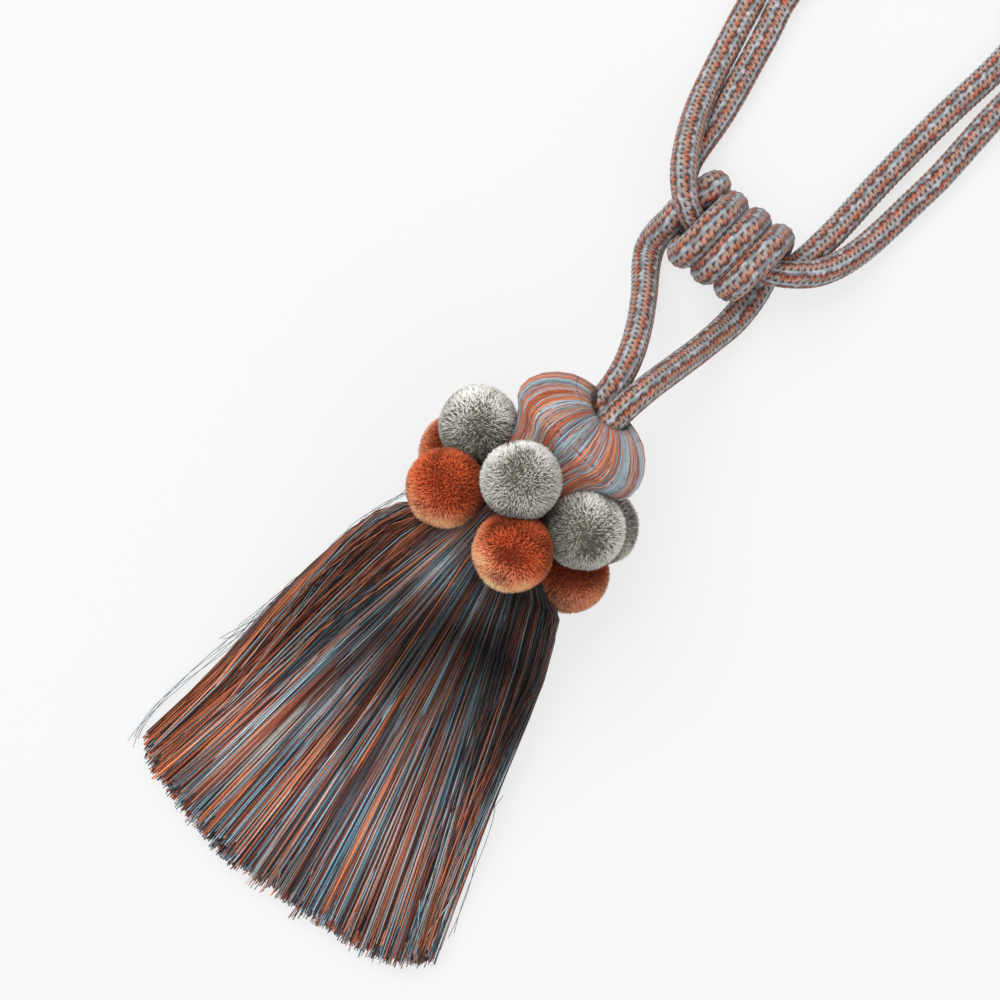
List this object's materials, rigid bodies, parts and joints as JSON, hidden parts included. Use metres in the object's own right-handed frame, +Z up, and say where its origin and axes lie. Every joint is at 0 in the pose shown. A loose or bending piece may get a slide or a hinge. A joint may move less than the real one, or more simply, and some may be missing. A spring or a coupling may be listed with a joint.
{
  "type": "curtain tieback",
  "caption": "Tasselled curtain tieback: fanned skirt and covered head with rings of pompons, on a braided cord wound round a doubled cord that ends in a loop on either side.",
  "frame": {"origin": "bottom centre of the bounding box, on the table that it lies on", "axes": "+Z up from the table, +Y from the skirt's hem towards the cord's loops, +X to the right of that"},
  "size_m": [0.1498, 0.4572, 0.08],
  "materials": {
    "braid": "matte",
    "head_thread": "silky",
    "skirt_thread": "silky",
    "grey_pile": "matte",
    "rust_pile": "matte"
  },
  "bodies": {
    "root": {"embrace_cord": "braid", "hanger_cord": "braid", "head": "head_thread", "skirt": "skirt_thread", "pompon_grey_1": "grey_pile", "pompon_grey_2": "grey_pile", "pompon_grey_3": "grey_pile", "pompon_grey_4": "grey_pile", "pompon_grey_5": "grey_pile", "pompon_rust_1": "rust_pile", "pompon_rust_2": "rust_pile", "pompon_rust_3": "rust_pile", "pompon_rust_4": "rust_pile", "pompon_rust_5": "rust_pile"}
  },
  "joints": []
}
